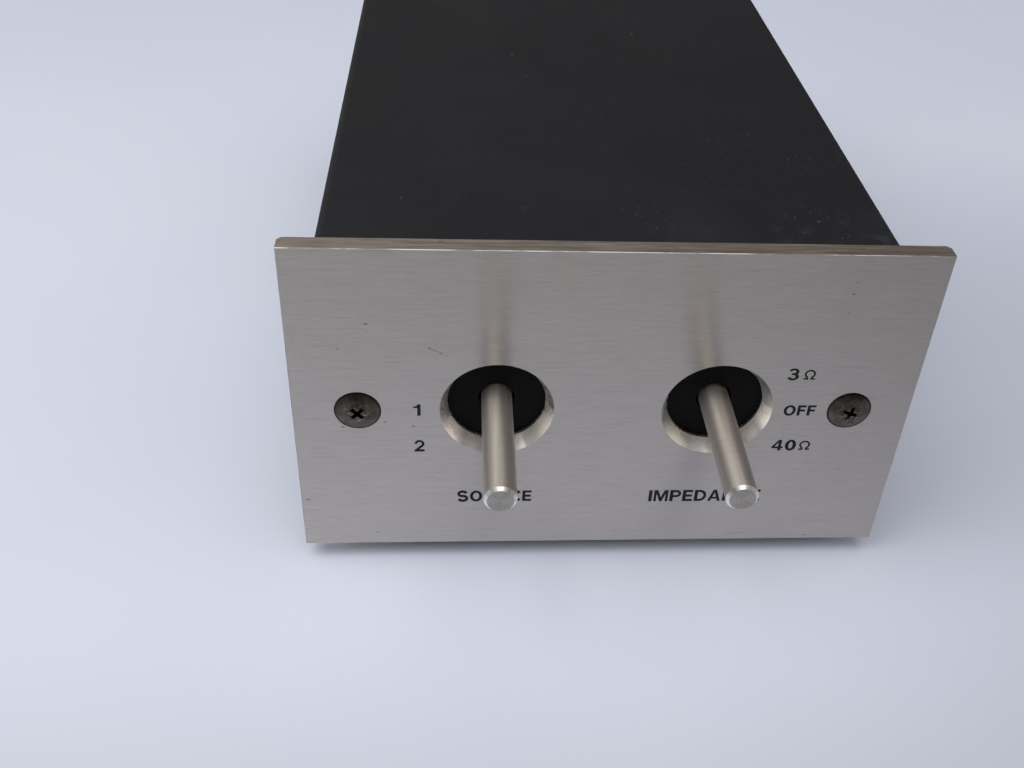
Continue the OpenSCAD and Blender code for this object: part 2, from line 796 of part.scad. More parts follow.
module board_rivets() {
    grip = chassis_t + board_t;
    top_d = 0.7 * rivet_head_d;
    color(steel) for (side = sides)
        translate([jack_x + side * rivet_x, board_y, mid_z]) to_rear() {
            cylinder(d = rivet_d, h = grip);
            translate([0, 0, -rivet_head_h]) cylinder(d1 = top_d, d2 = rivet_head_d, h = rivet_head_h);
            translate([0, 0, grip]) cylinder(d1 = rivet_head_d, d2 = top_d, h = rivet_head_h);
        }
}

// Plated shells: flange outside the rear wall, crimped rim inside the board
module socket_shells() {
    inside = -chassis_t - board_t;
    crimp = inside - shell_crimp_t;
    crimp_r = shell_crimp_d / 2;
    flange_r = shell_flange_d / 2;
    r = jack_d / 2;
    bore_r = jack_inner_d / 2;
    color(nickel) for (spot = socket_spots())
        translate([spot.x, rear_y, spot.y]) to_rear() rotate_extrude()
            polygon([
                [bore_r, crimp], [crimp_r, crimp], [crimp_r, inside], [r, inside], [r, 0],
                [flange_r, 0], [flange_r, shell_flange_t], [r, shell_flange_t],
                [r, jack_reach - 0.3], [r - 0.3, jack_reach], [bore_r, jack_reach]
            ]);
}

// Insulating plugs of one row of sockets, each with a seat for the middle contact
module insulators(row) {
    inside = -chassis_t - board_t - 1;
    seat_z = jack_reach - contact_step - contact_bore_l - 1;
    color(row > 0 ? "white" : "firebrick") for (spot = socket_spots())
        if ((spot.y - mid_z) * row > 0)
            translate([spot.x, rear_y, spot.y]) to_rear() difference() {
                translate([0, 0, inside]) cylinder(d = insulator_d, h = jack_reach - insulator_step - inside);
                translate([0, 0, seat_z]) cylinder(d = contact_d + 2 * seat_gap, h = jack_reach);
                translate([0, 0, inside - 1])
                    cylinder(d = contact_tail_d + 2 * seat_gap, h = jack_reach - inside);
            }
}

// Middle contacts: a sprung sleeve in front, a solder tail behind
module socket_contacts() {
    inside = -chassis_t - board_t - 1 - contact_tail_l;
    seat_z = jack_reach - contact_step - contact_bore_l - 1;
    color(brass) for (spot = socket_spots())
        translate([spot.x, rear_y, spot.y]) to_rear() difference() {
            union() {
                translate([0, 0, seat_z]) cylinder(d = contact_d, h = contact_bore_l + 1);
                translate([0, 0, inside]) cylinder(d = contact_tail_d, h = seat_z - inside + 0.5);
            }
            translate([0, 0, seat_z + 1]) cylinder(d = jack_bore_d, h = contact_bore_l + 1);
        }
}

// Earth stud with its collar outside the rear wall
module earth_post() {
    inside = chassis_t + post_inner_l;
    color(nickel) translate([post_x, rear_y, mid_z]) to_rear() {
        cylinder(d = post_collar_d, h = post_collar_t);
        translate([0, 0, -inside]) cylinder(d = post_d, h = post_l + inside);
    }
}

module earth_lock_nut() {
    color(steel) translate([post_x, rear_inner_y, mid_z])
        to_front() hex_nut(post_d);
}

module earth_washer() {
    color(nickel) translate([post_x, rear_y + post_collar_t + washer_gap, mid_z]) to_rear() difference() {
        cylinder(d = thumb_d, h = washer_t);
        translate([0, 0, -1]) cylinder(d = post_d + 2 * hole_gap, h = washer_t + 2);
    }
}

module earth_thumb_nut() {
    seat_y = rear_y + post_collar_t + washer_t + 2 * washer_gap;
    edge = 0.5;
    color(nickel) translate([post_x, seat_y, mid_z]) to_rear() difference() {
        union() {
            cylinder(d1 = thumb_d - 2 * edge, d2 = thumb_d, h = edge);
            translate([0, 0, edge]) cylinder(d = thumb_d, h = thumb_h - 2 * edge);
            translate([0, 0, thumb_h - edge]) cylinder(d1 = thumb_d, d2 = thumb_d - 2 * edge, h = edge);
        }
        translate([0, 0, -1]) cylinder(d = post_d + 2 * thread_gap, h = thumb_h + 2);
        for (i = [0:thumb_grooves - 1])
            rotate(i * 360 / thumb_grooves) translate([thumb_d / 2 + 0.1, 0, -1])
                cylinder(d = thumb_groove_d, h = thumb_h + 2, $fn = 16);
    }
}

// Leads: a smooth curve through the route's points, swept with a round section
function curve_point(a, b, c, d, t) =
    0.5 * (2 * b + (c - a) * t + (2 * a - 5 * b + 4 * c - d) * t * t + (3 * b - a - 3 * c + d) * t * t * t);
function curve(points, steps) = [
    for (i = [0:len(points) - 2], k = [0:steps - 1])
        curve_point(
            points[max(i - 1, 0)], points[i], points[i + 1], points[min(i + 2, len(points) - 1)], k / steps
        ),
    points[len(points) - 1]
];
function unit(v) = v / norm(v);
function heading(path, i) = unit(path[min(i + 1, len(path) - 1)] - path[max(i - 1, 0)]);
function upright(v, along) = unit(v - (v * along) * along);
function ring_normals(path, i, normal) =
    i == len(path) ? [] :
        let (n = upright(normal, heading(path, i)))
            concat([n], ring_normals(path, i + 1, n));

module swept_tube(points, diameter, steps) {
    ring = 8;
    path = curve(points, steps);
    last = len(path) - 1;
    normals = ring_normals(path, 0, upright([0.3, 0.2, 1], heading(path, 0)));
    verts = [
        for (i = [0:last], k = [0:ring - 1])
            let (n = normals[i], b = cross(heading(path, i), n), a = 360 * k / ring)
                path[i] + diameter / 2 * (cos(a) * n + sin(a) * b)
    ];
    walls = [
        for (i = [0:last - 1], k = [0:ring - 1])
            let (p = i * ring + k, q = i * ring + (k + 1) % ring)
                each [[p, p + ring, q], [q, p + ring, q + ring]]
    ];
    ends = [
        for (k = [1:ring - 2])
            each [[0, k, k + 1], [last * ring, last * ring + k + 1, last * ring + k]]
    ];
    polyhedron(verts, concat(walls, ends), convexity = 6);
}

// Heights at which leads meet a contact body, and the lanes that they follow along the floor
lead_rows = [-9, -3, 3, 9];
lead_end_gap = 0.4;
lead_bend = 2.5 * lead_d;
lane_step = lead_d + 2 * lead_gap;
lane_z = floor_z + can_flange_t + lead_gap + lead_d / 2;
lane_x = lane_step / 2 + lead_gap;
cross_z = lane_z + 3 * lane_step;
lead_end_y = body_rear_y + lead_end_gap;
run_y = body_rear_y + terminal_out + 2 * lead_bend;
can_front_y = can_y - can_d / 2 - lead_d;
crest_z = (can_top_z + inner_top_z) / 2;

function between(a, b, share) = a + (b - a) * share;

// Route from a contact body down to a lane on the floor
function drop_route(x, row, side, lane) = [
    [x, lead_end_y, mid_z + row],
    [x, body_rear_y + lead_bend, mid_z + row],
    [(x + side * lane_x) / 2, run_y - lead_bend / 2, (mid_z + row + lane_z + lane) / 2],
    [side * lane_x, run_y + lead_bend, lane_z + lane],
    [side * lane_x, run_y + 2 * lead_bend, lane_z + lane]
];

// Route from a lane between the cans up to one socket column
function rise_route(side, lane, column) =
    let (x = jack_x + column * jack_pitch_x, turn_y = can_y + can_d / 2 + lead_bend) [
        [side * lane_x, can_y, lane_z + lane],
        [side * lane_x, turn_y, lane_z + lane],
        [(side * lane_x + x) / 2, (turn_y + board_y) / 2, (lane_z + lane + mid_z) / 2],
        [x, board_y - lead_bend, mid_z],
        [x, board_y - lead_end_gap, mid_z]
    ];

// Route out of a can's grommet, over the can's top and down in front of it
function can_route(x) = [
    [x, can_y, can_top_z - can_t - grommet_lip],
    [x, can_y, can_top_z + grommet_lip],
    [x, can_y, can_top_z + grommet_lip + lead_d / 2],
    [x, can_y - lead_bend, crest_z],
    [x, can_y - can_d / 4 - lead_d, crest_z],
    [x, can_front_y, can_top_z - can_edge_r],
    [x, can_front_y - lead_d / 3, can_top_z - can_h / 3]
];

// Route from the space in front of the cans up to the selector's contact body
function selector_route(x, z, row) = [
    [x, run_y + lead_bend, z],
    [(x + selector_x) / 2, run_y - lead_bend / 2, (mid_z + row + z) / 2],
    [selector_x, body_rear_y + lead_bend, mid_z + row],
    [selector_x, lead_end_y, mid_z + row]
];

module socket_lead(x, row, side, lane, column, tint) {
    route = concat(drop_route(x, row, side, lane), rise_route(side, lane, column));
    color(tint) swept_tube(route, lead_d, 3);
}

// The left can's lead crosses over the lanes on its way to the selector
module left_can_lead() {
    down_y = can_front_y - lead_bend;
    along_y = run_y + lead_bend;
    over = [
        [-can_x + lead_d, down_y, cross_z + lead_d],
        [-can_x / 2, between(down_y, along_y, 0.35), cross_z],
        [can_x / 5, between(down_y, along_y, 0.7), cross_z]
    ];
    end_x = selector_x - 2 * lane_step;
    route = concat(can_route(-can_x), over, selector_route(end_x, cross_z, lead_rows[2]));
    color("khaki") swept_tube(route, lead_d, 3);
}

module right_can_lead() {
    down_y = can_front_y - lead_bend;
    along_y = run_y + lead_bend;
    end_x = selector_x + 2 * lane_step;
    over = [
        [can_x, down_y, lane_z + lead_d],
        [(can_x + end_x) / 2, between(down_y, along_y, 0.5), lane_z]
    ];
    route = concat(can_route(can_x), over, selector_route(end_x, lane_z, lead_rows[1]));
    color("khaki") swept_tube(route, lead_d, 3);
}

// Short lead from the pickup switch across to the selector
module link_lead() {
    z = mid_z + lead_rows[3];
    bulge_y = body_rear_y + terminal_out + lead_bend;
    route = [
        [pickup_x, lead_end_y, z],
        [pickup_x, body_rear_y + lead_bend, z],
        [pickup_x / 2, bulge_y, z + lead_d],
        [selector_x / 2, bulge_y, z + lead_d],
        [selector_x, body_rear_y + lead_bend, z],
        [selector_x, lead_end_y, z]
    ];
    color("dimgray") swept_tube(route, lead_d, 4);
}

front_panel();
panel_screws();
panel_nuts();
chassis();
cover();
cover_screws();
feet();
foot_screws();

lever(pickup_x);  // pickup_lever
hub(pickup_x, [0, 1]);  // pickup_hub
pivot_pin(pickup_x);  // pickup_pivot_pin
dust_shield(pickup_x);  // pickup_dust_shield
switch_frame(pickup_x);  // pickup_frame
contact_body(pickup_x);  // pickup_contact_body
slider(pickup_x);  // pickup_slider
terminals(pickup_x);  // pickup_terminals
detent_spring(pickup_x);  // pickup_detent_spring

lever(selector_x);  // selector_lever
hub(selector_x, [-1, 0, 1]);  // selector_hub
pivot_pin(selector_x);  // selector_pivot_pin
dust_shield(selector_x);  // selector_dust_shield
switch_frame(selector_x);  // selector_frame
contact_body(selector_x);  // selector_contact_body
slider(selector_x);  // selector_slider
terminals(selector_x);  // selector_terminals
detent_spring(selector_x);  // selector_detent_spring
switch_screws();

can(-can_x);  // left_can
grommet(-can_x);  // left_grommet
core(-can_x);  // left_core
coil(-can_x);  // left_coil
pad(-can_x);  // left_pad
can(can_x);  // right_can
grommet(can_x);  // right_grommet
core(can_x);  // right_core
coil(can_x);  // right_coil
pad(can_x);  // right_pad
can_screws();

socket_board();
board_rivets();
socket_shells();
insulators(1);  // left_insulators
insulators(-1);  // right_insulators
socket_contacts();

earth_post();
earth_lock_nut();
earth_washer();
earth_thumb_nut();

socket_lead(pickup_x, lead_rows[1], -1, 0, -1, "firebrick");  // first_input_lead
socket_lead(pickup_x, lead_rows[2], -1, lane_step, 0, "steelblue");  // second_input_lead
link_lead();
socket_lead(selector_x, lead_rows[0], 1, 0, 1, "dimgray");  // output_lead
left_can_lead();
right_can_lead();
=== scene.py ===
import json
import math

import bmesh
import bpy
from mathutils import Euler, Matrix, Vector


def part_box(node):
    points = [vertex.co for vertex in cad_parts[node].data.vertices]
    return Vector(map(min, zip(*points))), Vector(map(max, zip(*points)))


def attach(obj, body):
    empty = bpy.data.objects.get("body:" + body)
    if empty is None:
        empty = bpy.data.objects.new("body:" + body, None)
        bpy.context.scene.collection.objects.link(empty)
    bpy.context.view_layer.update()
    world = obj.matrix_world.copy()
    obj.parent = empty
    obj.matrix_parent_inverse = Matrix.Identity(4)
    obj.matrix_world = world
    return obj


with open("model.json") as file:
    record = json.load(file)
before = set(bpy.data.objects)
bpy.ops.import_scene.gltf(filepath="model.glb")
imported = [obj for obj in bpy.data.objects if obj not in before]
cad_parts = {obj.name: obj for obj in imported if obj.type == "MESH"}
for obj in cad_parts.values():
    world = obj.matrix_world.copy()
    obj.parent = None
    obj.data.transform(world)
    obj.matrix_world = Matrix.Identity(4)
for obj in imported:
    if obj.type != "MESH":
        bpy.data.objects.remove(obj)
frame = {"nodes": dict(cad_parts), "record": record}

MM = 0.001
NODES = frame["nodes"]
scene = bpy.context.scene
scene.view_settings.view_transform = "Standard"
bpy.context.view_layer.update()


def camera():
    """The camera fitted to the photograph, in millimetres and degrees."""
    data = bpy.data.cameras.new("camera")
    obj = bpy.data.objects.new("camera", data)
    scene.collection.objects.link(obj)
    obj.location = Vector((-25.613, -220.019, 156.427)) * MM
    obj.rotation_euler = Euler([math.radians(a) for a in (53.588, -3.336, -4.0544)], "XYZ")
    data.lens = 39.048
    data.sensor_width = 36
    data.shift_x = -0.047782
    data.shift_y = -0.031598
    data.clip_start = 0.01
    data.clip_end = 50
    scene.camera = obj


class Graph:
    """A procedural material on one Principled shader, in the part's own coordinates (metres)."""

    def __init__(self, name, metallic=0.0, roughness=0.5, specular=0.5):
        self.mat = bpy.data.materials.new(name)
        self.mat.use_nodes = True
        self.tree = self.mat.node_tree
        self.tree.nodes.clear()
        out = self.add("ShaderNodeOutputMaterial")
        self.bsdf = self.add("ShaderNodeBsdfPrincipled")
        self.link(self.bsdf.outputs[0], out.inputs[0])
        self.pos = self.add("ShaderNodeTexCoord").outputs["Object"]
        self.set(Metallic=metallic, Roughness=roughness)
        self.bsdf.inputs["Specular IOR Level"].default_value = specular

    def add(self, kind, **values):
        node = self.tree.nodes.new(kind)
        for key, value in values.items():
            setattr(node, key, value)
        return node

    def link(self, a, b):
        self.tree.links.new(a, b)

    def put(self, socket, value):
        if isinstance(value, bpy.types.NodeSocket):
            self.link(value, socket)
        elif isinstance(value, (tuple, list)) and len(value) == 3 and socket.type == "RGBA":
            socket.default_value = (*value, 1)
        else:
            socket.default_value = value

    def set(self, **values):
        for key, value in values.items():
            self.put(self.bsdf.inputs[key.replace("_", " ")], value)

    def stretched(self, scale, shift=(0, 0, 0)):
        node = self.add("ShaderNodeMapping")
        node.inputs["Scale"].default_value = scale
        node.inputs["Location"].default_value = shift
        self.link(self.pos, node.inputs["Vector"])
        return node.outputs[0]

    def noise(self, scale, detail=2.0, rough=0.5, stretch=None, distortion=0.0, shift=(0, 0, 0)):
        node = self.add("ShaderNodeTexNoise")
        node.inputs["Scale"].default_value = scale
        node.inputs["Detail"].default_value = detail
        node.inputs["Roughness"].default_value = rough
        node.inputs["Distortion"].default_value = distortion
        moved = stretch or any(shift)
        self.link(self.stretched(stretch or (1, 1, 1), shift) if moved else self.pos, node.inputs["Vector"])
        return node.outputs["Fac"]

    def span(self, value, low, high, to_low=0.0, to_high=1.0):
        """Smooth step of a value from one range to another."""
        node = self.add("ShaderNodeMapRange", interpolation_type="SMOOTHSTEP")
        limits = {"Value": value, "From Min": low, "From Max": high, "To Min": to_low, "To Max": to_high}
        for key, limit in limits.items():
            self.put(node.inputs[key], limit)
        return node.outputs["Result"]

    def math(self, op, a, b=0.0):
        node = self.add("ShaderNodeMath", operation=op)
        self.put(node.inputs[0], a)
        self.put(node.inputs[1], b)
        return node.outputs[0]

    def mix(self, fac, a, b):
        node = self.add("ShaderNodeMix", data_type="RGBA")
        self.put(node.inputs["Factor"], fac)
        self.put(node.inputs[6], a)
        self.put(node.inputs[7], b)
        return node.outputs[2]

    def specks(self, scale, share, size, seed=0.0, stretch=None):
        """Scattered dots: a `share` of the cells hold a dot of `size` cells."""
        cells = self.add("ShaderNodeTexVoronoi")
        cells.inputs["Scale"].default_value = scale
        self.link(self.stretched(stretch or (1, 1, 1), (seed, seed, seed)), cells.inputs["Vector"])
        rgb = self.add("ShaderNodeSeparateColor")
        self.link(cells.outputs["Color"], rgb.inputs[0])
        chosen = self.span(rgb.outputs[0], share, share * 0.9)
        near = self.span(cells.outputs["Distance"], size, size * 0.55)
        return self.math("MULTIPLY", chosen, near)

    def scratch(self, x, z, degrees, length):
        """A broken line on an upright face, from its middle in millimetres, its slope and its length."""
        wide, _, up = self.xyz()
        wide = self.math("SUBTRACT", wide, x * MM)
        up = self.math("SUBTRACT", up, z * MM)
        run, rise = math.cos(math.radians(degrees)), math.sin(math.radians(degrees))
        along = self.math("ADD", self.math("MULTIPLY", wide, run), self.math("MULTIPLY", up, rise))
        across = self.math("SUBTRACT", self.math("MULTIPLY", up, run), self.math("MULTIPLY", wide, rise))
        ends = self.span(self.math("ABSOLUTE", along), length * 0.5 * MM, length * 0.4 * MM)
        line = self.math("MULTIPLY", self.span(self.math("ABSOLUTE", across), 0.2 * MM, 0.1 * MM), ends)
        return self.math("MULTIPLY", line, self.span(self.noise(1300, 2, 0.6), 0.4, 0.58))

    def xyz(self):
        node = self.add("ShaderNodeSeparateXYZ")
        self.link(self.pos, node.inputs[0])
        return node.outputs

    def bump(self, height, distance, strength=1.0):
        node = self.add("ShaderNodeBump")
        node.inputs["Strength"].default_value = strength
        node.inputs["Distance"].default_value = distance
        self.link(height, node.inputs["Height"])
        normal = self.bsdf.inputs["Normal"]
        if normal.is_linked:
            self.link(normal.links[0].from_socket, node.inputs["Normal"])
        self.link(node.outputs[0], normal)

    def brushed(self, tangent, amount):
        """Stretches the highlights along a direction, across the strokes of a brushed or turned face."""
        self.link(tangent, self.bsdf.inputs["Tangent"])
        self.bsdf.inputs["Anisotropic"].default_value = amount

    def outwards(self, x, z):
        """Direction away from an axis that runs along Y."""
        node = self.add("ShaderNodeVectorMath", operation="SUBTRACT")
        self.link(self.pos, node.inputs[0])
        node.inputs[1].default_value = (x, 0, z)
        flat = self.add("ShaderNodeVectorMath", operation="MULTIPLY")
        self.link(node.outputs[0], flat.inputs[0])
        flat.inputs[1].default_value = (1, 0, 1)
        return flat.outputs[0]

    def along(self, x, y, z):
        """One direction all over."""
        node = self.add("ShaderNodeCombineXYZ")
        for socket, value in zip(node.inputs, (x, y, z)):
            socket.default_value = value
        return node.outputs[0]


def panel_alloy():
    """Horizontally brushed aluminium: strokes, faint bands, dark dashes, stains, pits and one scratch."""
    g = Graph("panel_alloy", 1.0, 0.31)
    hair = g.noise(1, 2, 0.6, (320, 500, 5600))
    stroke = g.noise(1, 3, 0.55, (120, 300, 2300), shift=(3, 0, 7))
    band = g.noise(1, 2, 0.5, (7, 40, 300), shift=(9, 0, 2))
    strokes = g.math("ADD", g.math("MULTIPLY", hair, 0.45), g.math("MULTIPLY", stroke, 0.55))
    base = g.mix(g.span(strokes, 0.34, 0.66), (0.515, 0.481, 0.458), (0.577, 0.541, 0.518))
    base = g.mix(g.span(band, 0.4, 0.7, 0, 0.4), base, (0.525, 0.488, 0.457))
    fleck = g.noise(1, 1, 0.5, (240, 300, 2500), shift=(6, 0, 3))
    base = g.mix(g.span(fleck, 0.56, 0.72, 0, 0.3), base, (0.655, 0.616, 0.589))
    dash = g.noise(1, 1, 0.5, (170, 300, 1500), shift=(1, 0, 4))
    base = g.mix(g.span(dash, 0.62, 0.74, 0, 0.3), base, (0.398, 0.363, 0.323))
    stain = g.span(g.noise(55, 4, 0.6, distortion=0.6), 0.55, 0.75, 0, 0.35)
    base = g.mix(stain, base, (0.521, 0.468, 0.402))
    pits = g.specks(700, 0.03, 0.2, 1.7, (0.6, 1, 1))
    base = g.mix(g.math("MULTIPLY", pits, 0.6), base, (0.14, 0.125, 0.11))
    mark = g.scratch(x=-29.3, z=48, degrees=-29, length=4.4)
    base = g.mix(g.math("MULTIPLY", mark, 0.7), base, (0.16, 0.14, 0.115))
    g.set(Base_Color=base)
    g.set(Roughness=g.span(strokes, 0.3, 0.7, 0.335, 0.38))
    g.bump(strokes, 0.00001, 0.4)
    g.brushed(g.along(0, 0, 1), 0.97)
    return g.mat


def edge_alloy():
    """The panel's cut edges: strokes along the edge, darker and browner than the face, with nicks."""
    g = Graph("edge_alloy", 1.0, 0.4)
    strokes = g.noise(1, 3, 0.6, (110, 2800, 110))
    base = g.mix(g.span(strokes, 0.36, 0.64), (0.345, 0.305, 0.268), (0.435, 0.394, 0.356))
    tarnish = g.noise(95, 4, 0.6, shift=(3, 1, 8))
    base = g.mix(g.span(tarnish, 0.48, 0.7, 0, 0.6), base, (0.31, 0.262, 0.217))
    nicks = g.specks(420, 0.1, 0.2, 6.2, (0.5, 1, 0.5))
    base = g.mix(g.math("MULTIPLY", nicks, 0.55), base, (0.13, 0.11, 0.09))
    g.set(Base_Color=base)
    g.set(Roughness=g.span(strokes, 0.3, 0.7, 0.36, 0.46))
    g.bump(strokes, 0.000012, 0.4)
    g.brushed(g.along(0, 1, 0), 0.5)
    return g.mat


def arris_alloy():
    """The broken corner between the panel's face and its edges: bright where it is rubbed."""
    g = Graph("arris_alloy", 1.0, 0.3)
    rubbed = g.noise(130, 4, 0.65, shift=(7, 2, 5))
    base = g.mix(g.span(rubbed, 0.4, 0.6), (0.2, 0.182, 0.163), (0.42, 0.398, 0.372))
    nicks = g.specks(500, 0.12, 0.3, 8.1)
    base = g.mix(g.math("MULTIPLY", nicks, 0.7), base, (0.2, 0.17, 0.145))
    g.set(Base_Color=base)
    g.set(Roughness=g.span(rubbed, 0.3, 0.7, 0.5, 0.36))
    return g.mat


def bevel_alloy(name, x, z):
    """The turned bevel round one opening: fine rings round its axis and a few small nicks."""
    g = Graph(name, 1.0, 0.3)
    ring_tone = g.noise(1, 2, 0.6, (300, 5200, 300))
    base = g.mix(g.span(ring_tone, 0.35, 0.65), (0.93, 0.872, 0.79), (0.98, 0.932, 0.868))
    patch = g.noise(240, 3, 0.5, shift=(2, 2, 6))
    base = g.mix(g.span(patch, 0.45, 0.72, 0, 0.5), base, (0.86, 0.785, 0.69))
    nicks = g.specks(700, 0.015, 0.2, 6.9)
    base = g.mix(g.math("MULTIPLY", nicks, 0.4), base, (0.24, 0.2, 0.165))
    g.set(Base_Color=base)
    g.set(Roughness=g.span(patch, 0.3, 0.7, 0.24, 0.31))
    g.bump(ring_tone, 0.000008, 0.3)
    g.brushed(g.outwards(x, z), 0.85)
    return g.mat


def lever_alloy():
    """Turned aluminium: very fine rings round the axis, faint lengthwise rubs and a few nicks."""
    g = Graph("lever_alloy", 1.0, 0.35)
    rings = g.noise(1, 2, 0.6, (60, 6500, 60))
    rub = g.noise(1, 3, 0.55, (1500, 45, 1500), shift=(4, 1, 0))
    base = g.mix(g.span(rings, 0.35, 0.65), (0.5, 0.457, 0.407), (0.545, 0.501, 0.449))
    base = g.mix(g.span(rub, 0.5, 0.75, 0, 0.35), base, (0.59, 0.547, 0.496))
    dull_patch = g.span(g.noise(190, 4, 0.6), 0.52, 0.74, 0, 0.4)
    base = g.mix(dull_patch, base, (0.46, 0.414, 0.36))
    nicks = g.specks(600, 0.035, 0.2, 3.1)
    base = g.mix(g.math("MULTIPLY", nicks, 0.6), base, (0.2, 0.175, 0.15))
    g.set(Base_Color=base)
    g.set(Roughness=g.span(rub, 0.3, 0.7, 0.42, 0.48))
    g.bump(rings, 0.000006, 0.3)
    g.brushed(g.along(0, 1, 0), 0.7)
    return g.mat


def chamfer_alloy():
    """The polished corner of a lever's end, with small knocks."""
    g = Graph("chamfer_alloy", 1.0, 0.16)
    tone = g.noise(420, 3, 0.6)
    base = g.mix(g.span(tone, 0.38, 0.62), (0.7, 0.665, 0.625), (0.84, 0.81, 0.775))
    knocks = g.specks(900, 0.1, 0.3, 5.7)
    base = g.mix(g.math("MULTIPLY", knocks, 0.7), base, (0.2, 0.18, 0.16))
    g.set(Base_Color=base)
    g.set(Roughness=g.span(tone, 0.3, 0.7, 0.2, 0.12))
    return g.mat


def tip_alloy(name, x, z):
    """A lever's faced end: turned rings that show as wedges of tone, with small dents."""
    g = Graph(name, 1.0, 0.36)
    rings = g.noise(1, 2, 0.6, (3600, 60, 3600))
    base = g.mix(g.span(rings, 0.35, 0.65), (0.4, 0.37, 0.33), (0.475, 0.445, 0.4))
    dents = g.specks(1500, 0.08, 0.24, 2.9)
    base = g.mix(g.math("MULTIPLY", dents, 0.5), base, (0.22, 0.2, 0.18))
    g.set(Base_Color=base)
    g.set(Roughness=g.span(rings, 0.3, 0.7, 0.28, 0.36))
    g.bump(rings, 0.000006, 0.3)
    g.brushed(g.outwards(x, z), 0.95)
    return g.mat


def screw_head(x, z):
    """Blackened raised heads at both ends of the panel: brown in and round the cross, scratched by drivers.
    Painted light lifts the middle of the cross; painted shade darkens each head's rim by its seat.
    """
    g = Graph("screw_head", 1.0, 0.3)
    across, _, up = g.xyz()
    far = g.math("POWER", g.math("SUBTRACT", g.math("ABSOLUTE", across), x), 2.0)
    far = g.math("SQRT", g.math("ADD", far, g.math("POWER", g.math("SUBTRACT", up, z), 2.0)))
    cloud = g.noise(420, 4, 0.6)
    base = g.mix(g.span(cloud, 0.36, 0.66), (0.063, 0.054, 0.045), (0.122, 0.106, 0.088))
    base = g.mix(g.span(far, 0.0024, 0.0014, 0, 0.6), base, (0.056, 0.042, 0.032))
    # Painted light: the middle of the cross is lighter, lifting the shade of the deep recess.
    base = g.mix(g.span(far, 0.0013, 0.0009, 0, 0.9), base, (0.13, 0.105, 0.083))
    # Painted shade: the rim where the head meets its seat is near-black.
    base = g.mix(g.span(far, 0.0034, 0.0038, 0, 0.8), base, (0.018, 0.015, 0.013))
    scratch = g.span(g.noise(1, 2, 0.6, (1400, 700, 3200), shift=(2, 0, 5)), 0.57, 0.66)
    driven = g.math("MULTIPLY", g.span(far, 0.0028, 0.0016), g.span(far, 0.0006, 0.0012))
    base = g.mix(g.math("MULTIPLY", scratch, driven), base, (0.33, 0.305, 0.27))
    rust = g.specks(1400, 0.12, 0.26, 2.3)
    base = g.mix(g.math("MULTIPLY", rust, 0.6), base, (0.03, 0.023, 0.018))
    g.set(Base_Color=base)
    grain = g.noise(5400, 3, 0.6)
    g.set(Roughness=g.span(grain, 0.3, 0.7, 0.24, 0.38))
    g.bump(grain, 0.00003, 0.4)
    return g.mat


def metal(name, light, dark, rough, scale=300, bump=0.00002, tint=None, stretch=None, spots=0.04):
    """Plated or bare metal with cloudy tone, fine grain and spots of tarnish."""
    g = Graph(name, 1.0, rough)
    cloud = g.noise(scale * 0.35, 4, 0.6)
    grain = g.noise(1 if stretch else scale * 6, 3, 0.6, stretch)
    base = g.mix(g.span(cloud, 0.35, 0.68), dark, light)
    if tint:
        patch = g.noise(scale * 0.2, 3, 0.5, shift=(5, 3, 1))
        base = g.mix(g.span(patch, 0.48, 0.7, 0, 0.6), base, tint)
    dots = g.specks(scale * 1.6, spots, 0.26, 2.3)
    base = g.mix(g.math("MULTIPLY", dots, 0.6), base, tuple(c * 0.35 for c in dark))
    g.set(Base_Color=base)
    g.set(Roughness=g.span(grain, 0.3, 0.7, rough * 0.8, rough * 1.25))
    g.bump(grain, bump, 0.4)
    return g.mat


def case_paint():
    """Satin black paint over sheet: fine texture, wiped patches, smudges and dust in clusters."""
    g = Graph("case_paint", 0.0, 0.66, 0.24)
    fine = g.noise(5200, 2, 0.5)
    grain = g.noise(1500, 3, 0.6)
    cloud = g.noise(28, 5, 0.6, distortion=0.5)
    base = g.mix(g.span(cloud, 0.38, 0.7), (0.0066, 0.0074, 0.0098), (0.0098, 0.0106, 0.0136))
    base = g.mix(g.span(grain, 0.3, 0.7, 0, 0.4), base, (0.0125, 0.0134, 0.0164))
    x, y, _ = g.xyz()
    handled = g.math("MULTIPLY", g.span(x, -0.05, 0.035, 0.25, 1), g.span(y, 0.04, -0.06, 0.3, 1))
    wipe = g.noise(1, 4, 0.6, (60, 24, 60), shift=(2, 5, 1))
    base = g.mix(g.math("MULTIPLY", g.span(wipe, 0.55, 0.74, 0, 0.45), handled), base, (0.022, 0.0235, 0.0265))
    corner = g.math("MULTIPLY", g.span(x, 0.018, 0.04), g.span(y, -0.045, -0.065))
    smudge = g.span(g.noise(170, 5, 0.65, shift=(1, 3, 2)), 0.5, 0.68, 0, 0.55)
    base = g.mix(g.math("MULTIPLY", smudge, corner), base, (0.034, 0.039, 0.046))
    crumbs = g.span(g.noise(1250, 3, 0.6, shift=(4, 2, 9)), 0.62, 0.72)
    patches = g.span(g.noise(85, 3, 0.55, shift=(8, 1, 3)), 0.5, 0.64)
    dust = g.math("MULTIPLY", g.math("MULTIPLY", crumbs, patches), handled)
    lint = g.specks(420, 0.05, 0.11, 5.4, (1, 0.35, 1))
    base = g.mix(g.math("MULTIPLY", g.math("MAXIMUM", dust, lint), 0.6), base, (0.085, 0.087, 0.093))
    g.set(Base_Color=base)
    g.set(Roughness=g.span(wipe, 0.3, 0.75, 0.6, 0.74))
    g.bump(fine, 0.00003, 0.35)
    g.bump(grain, 0.00004, 0.25)
    return g.mat


